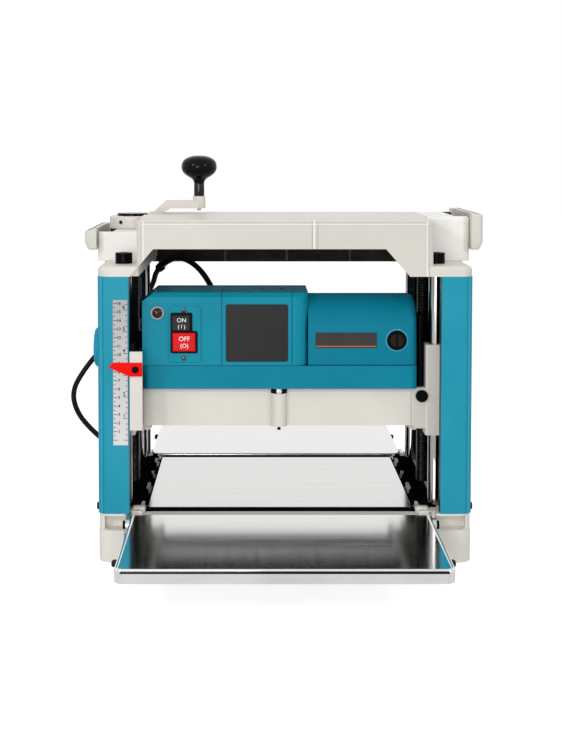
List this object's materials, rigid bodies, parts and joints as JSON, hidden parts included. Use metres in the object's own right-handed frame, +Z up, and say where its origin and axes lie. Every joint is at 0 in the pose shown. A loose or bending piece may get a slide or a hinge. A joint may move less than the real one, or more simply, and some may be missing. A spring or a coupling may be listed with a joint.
{
  "type": "benchtop thickness planer",
  "caption": "Benchtop thickness planer with a cutter head that slides on posts, a crank on top and folding infeed and outfeed tables.",
  "frame": {"origin": "on the bench under the middle of the machine, at the base's underside", "axes": "+X to the operator's right, +Y from the infeed to the outfeed table, +Z up"},
  "size_m": [0.5403, 0.771, 0.474],
  "materials": {
    "cream_paint": "satin paint over a die casting",
    "teal_plastic": "satin",
    "black_plastic": "semi-gloss",
    "red_plastic": "semi-gloss",
    "polished_steel": "polished",
    "chrome": "mirror",
    "steel": "machined",
    "dark_steel": "black oxide",
    "bronze": "machined",
    "rubber": "matt",
    "scale_plate": "satin, printed"
  },
  "bodies": {
    "chassis": {"base": "cream_paint", "main_table": "polished_steel", "left_cover": "teal_plastic", "right_cover": "teal_plastic", "cover_screws": "dark_steel", "guide_posts": "chrome", "post_bolts": "dark_steel", "top_frame": "cream_paint", "left_grip": "cream_paint", "right_grip": "cream_paint", "depth_scale": "scale_plate", "hinge_brackets": "steel", "hinge_pins": "steel", "lift_chain": "steel", "screw_bushes": "bronze", "cord_hook": "black_plastic", "cord_tail": "rubber", "cord_coil": "rubber", "cord_plug": "rubber"},
    "head": {"head_frame": "cream_paint", "lead_nuts": "bronze", "cutter_bearings": "steel", "roller_bushes": "bronze", "feed_chain": "steel", "gear_case": "black_plastic", "motor_housing": "teal_plastic", "brush_caps": "black_plastic", "stator": "steel", "drive_belt": "rubber", "belt_cover": "black_plastic", "switch_housing": "teal_plastic", "switch_plate": "black_plastic", "pilot_lamp": "chrome", "lower_cowl": "teal_plastic", "chip_hood": "steel", "depth_pointer": "red_plastic", "head_screws": "steel", "strain_relief": "rubber", "cord_loop": "rubber"},
    "cutter": {"cutter_drum": "steel", "knives": "steel", "knife_clamps": "steel", "cutter_pulley": "steel"},
    "armature": {"armature": "steel", "motor_fan": "black_plastic"},
    "infeed_roller": {"infeed_roller": "rubber", "infeed_shaft": "steel"},
    "outfeed_roller": {"outfeed_roller": "rubber", "outfeed_shaft": "steel"},
    "front_table": {"front_table": "polished_steel"},
    "rear_table": {"rear_table": "polished_steel"},
    "crank": {"crank_arm": "cream_paint", "crank_cap": "black_plastic", "left_screw": "steel"},
    "right_screw": {"right_screw": "steel"},
    "crank_knob": {"crank_knob": "black_plastic"},
    "on_button": {"on_button": "black_plastic"},
    "off_button": {"off_button": "red_plastic"},
    "stop_button": {"stop_button": "dark_steel"},
    "stop_rod": {"stop_rod": "chrome"}
  },
  "joints": [
    {"name": "crank_turn", "type": "hinge", "parent": "chassis", "child": "crank", "pos_m": [-0.191, 0, 0.39], "axis": [0, 0, 1], "range_deg": [-12241, 15121]},
    {"name": "head_slide", "type": "slide", "parent": "chassis", "child": "head", "axis": [0, 0, 1], "range_m": [-0.084, 0.068], "deforming": ["cord_loop"]},
    {"name": "right_screw_turn", "type": "hinge", "parent": "chassis", "child": "right_screw", "pos_m": [0.181, 0, 0.2], "axis": [0, 0, 1], "range_deg": [-12241, 15121]},
    {"name": "knob_spin", "type": "hinge", "parent": "crank", "child": "crank_knob", "pos_m": [-0.106, 0, 0.45], "axis": [0, 0, 1], "continuous": true},
    {"name": "cutter_spin", "type": "hinge", "parent": "head", "child": "cutter", "pos_m": [0, 0, 0.17], "axis": [-1, 0, 0], "continuous": true},
    {"name": "armature_spin", "type": "hinge", "parent": "head", "child": "armature", "pos_m": [0, -0.101, 0.267], "axis": [-1, 0, 0], "continuous": true},
    {"name": "infeed_spin", "type": "hinge", "parent": "head", "child": "infeed_roller", "pos_m": [0, -0.062, 0.161], "axis": [1, 0, 0], "continuous": true},
    {"name": "outfeed_spin", "type": "hinge", "parent": "head", "child": "outfeed_roller", "pos_m": [0, 0.062, 0.161], "axis": [1, 0, 0], "continuous": true},
    {"name": "on_press", "type": "slide", "parent": "head", "child": "on_button", "axis": [0, 1, 0], "range_m": [0, 0.003], "stiffness_N_per_m": 400},
    {"name": "off_press", "type": "slide", "parent": "head", "child": "off_button", "axis": [0, 1, 0], "range_m": [0, 0.003], "stiffness_N_per_m": 400},
    {"name": "stop_press", "type": "slide", "parent": "head", "child": "stop_button", "axis": [0, 1, 0], "range_m": [0, 0.003], "stiffness_N_per_m": 400},
    {"name": "stop_slide", "type": "slide", "parent": "head", "child": "stop_rod", "axis": [0, 0, -1], "range_m": [0, 0.08]},
    {"name": "front_fold", "type": "hinge", "parent": "chassis", "child": "front_table", "pos_m": [0, -0.186, 0.047], "axis": [-1, 0, 0], "range_deg": [0, 90]},
    {"name": "rear_fold", "type": "hinge", "parent": "chassis", "child": "rear_table", "pos_m": [0, 0.186, 0.047], "axis": [1, 0, 0], "range_deg": [0, 90]}
  ],
  "couplings": [
    {"joint": "crank_turn", "follows": "head_slide", "rad_per_m": -3141.6},
    {"joint": "right_screw_turn", "follows": "head_slide", "rad_per_m": -3141.6},
    {"joint": "armature_spin", "follows": "cutter_spin", "ratio": 1.6364},
    {"joint": "infeed_spin", "follows": "cutter_spin", "ratio": 0.008},
    {"joint": "outfeed_spin", "follows": "cutter_spin", "ratio": 0.008}
  ]
}
